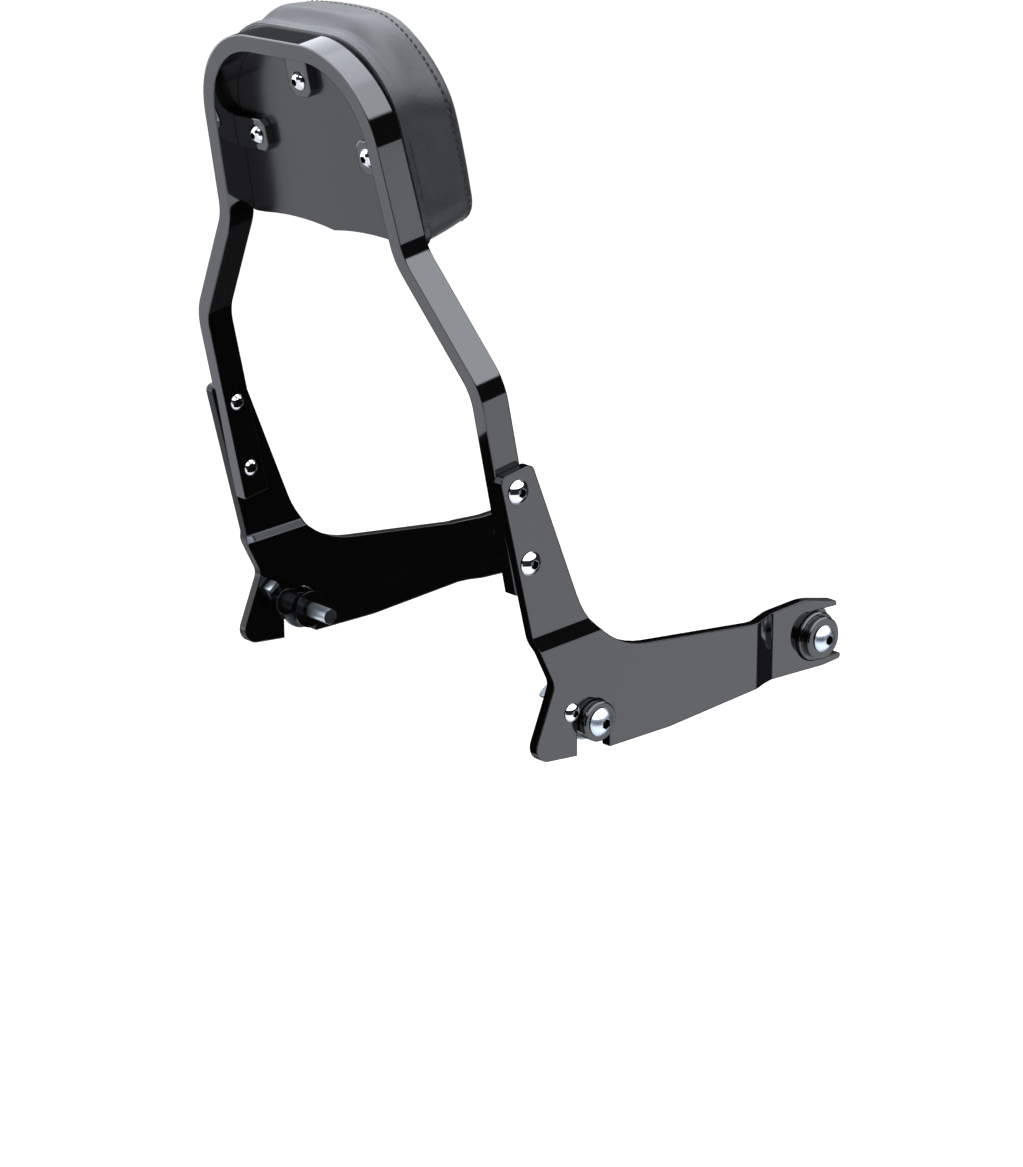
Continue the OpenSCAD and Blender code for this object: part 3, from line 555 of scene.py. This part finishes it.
softbox("top_box", (0.2, -0.1, 2.2), (0, -0.1, 0.1), 2.0, 34)
softbox("right_box", (1.9, 1.2, 1.5), (0, -0.1, 0.2), 1.2, 4)
softbox("rear_box", (-1.2, -1.9, 1.5), (0, -0.1, 0.2), 1.2, 8)

world = bpy.data.worlds.new("studio")
scene.world = world
world.use_nodes = True
world.cycles.sampling_method = "NONE"
wt = world.node_tree
wt.nodes.clear()
direction = wt.nodes.new("ShaderNodeTexCoord").outputs["Generated"]
split = wt.nodes.new("ShaderNodeSeparateXYZ")
wt.links.new(direction, split.inputs[0])
X, Y, Z = (split.outputs[k] for k in "XYZ")


def value_of(source, socket):
    if isinstance(source, (int, float)):
        socket.default_value = source
    else:
        wt.links.new(source, socket)


def calc(operation, a, b=0.0):
    node = wt.nodes.new("ShaderNodeMath")
    node.operation = operation
    value_of(a, node.inputs[0])
    value_of(b, node.inputs[1])
    return node.outputs[0]


def step(source, low, high):
    """0 below low, 1 above high, smooth between; the other way round where low is above high."""
    node = wt.nodes.new("ShaderNodeMapRange")
    node.interpolation_type = "SMOOTHSTEP"
    wt.links.new(source, node.inputs["Value"])
    node.inputs["From Min"].default_value = min(low, high)
    node.inputs["From Max"].default_value = max(low, high)
    node.inputs["To Min"].default_value = 0.0 if low < high else 1.0
    node.inputs["To Max"].default_value = 1.0 if low < high else 0.0
    return node.outputs["Result"]


def toward(x, y):
    return calc("ADD", calc("MULTIPLY", X, x), calc("MULTIPLY", Y, y))


# What gloss surfaces mirror: a pale table, a dark room behind it and softboxes above
right_back = calc("MULTIPLY", step(X, 0.3, 0.5), step(Y, 0.3, 0.1))
near_edge = calc("MULTIPLY", step(Z, -0.005, -0.03), calc("SUBTRACT", 1.0, right_back))
table_edge = calc("MAXIMUM", step(Z, -0.3, -0.4), near_edge)
right_more = calc("ADD", 0.95, calc("MULTIPLY", step(X, 0.0, 0.45), 0.38))
dark_end = calc("MULTIPLY", step(toward(-0.5, 0.866), 0.32, 0.47), 0.98)
table = calc("MULTIPLY", calc("MULTIPLY", table_edge, right_more), calc("SUBTRACT", 1.0, dark_end))
right_side = calc("MULTIPLY", step(Z, 0.4, 0.46), step(X, 0.1, 0.25))
overhead = calc("MULTIPLY", step(Z, 0.64, 0.9), 4.2)
left_side = calc("MULTIPLY", step(Z, 0.39, 0.43), calc("MULTIPLY", step(X, 0.0, -0.3), 3.3))
left_end = calc("MULTIPLY", step(toward(-0.8, -0.6), 0.8, 0.9), 3.0)
left_back = calc("MULTIPLY", step(Z, -0.3, -0.2), left_end)
right_above = calc("MAXIMUM", calc("MULTIPLY", right_side, 3.3), overhead)
above = calc("MAXIMUM", right_above, calc("MAXIMUM", left_side, left_back))
far_wall = calc("MULTIPLY", step(X, -0.45, -0.7), 0.11)
bright = calc("ADD", calc("ADD", table, above), calc("ADD", far_wall, 0.02))


def shade(color, strength):
    node = wt.nodes.new("ShaderNodeBackground")
    node.inputs["Color"].default_value = (*color, 1)
    value_of(strength, node.inputs["Strength"])
    return node.outputs[0]


def choose(factor, a, b):
    node = wt.nodes.new("ShaderNodeMixShader")
    wt.links.new(factor, node.inputs[0])
    wt.links.new(a, node.inputs[1])
    wt.links.new(b, node.inputs[2])
    return node.outputs[0]


ray = wt.nodes.new("ShaderNodeLightPath")
lit = choose(ray.outputs["Is Glossy Ray"], shade((1, 1, 1), 0.4), shade((0.95, 0.99, 1.08), bright))
lit = choose(ray.outputs["Is Camera Ray"], lit, shade((1, 1, 1), 1.0))
out = wt.nodes.new("ShaderNodeOutputWorld")
wt.links.new(lit, out.inputs["Surface"])
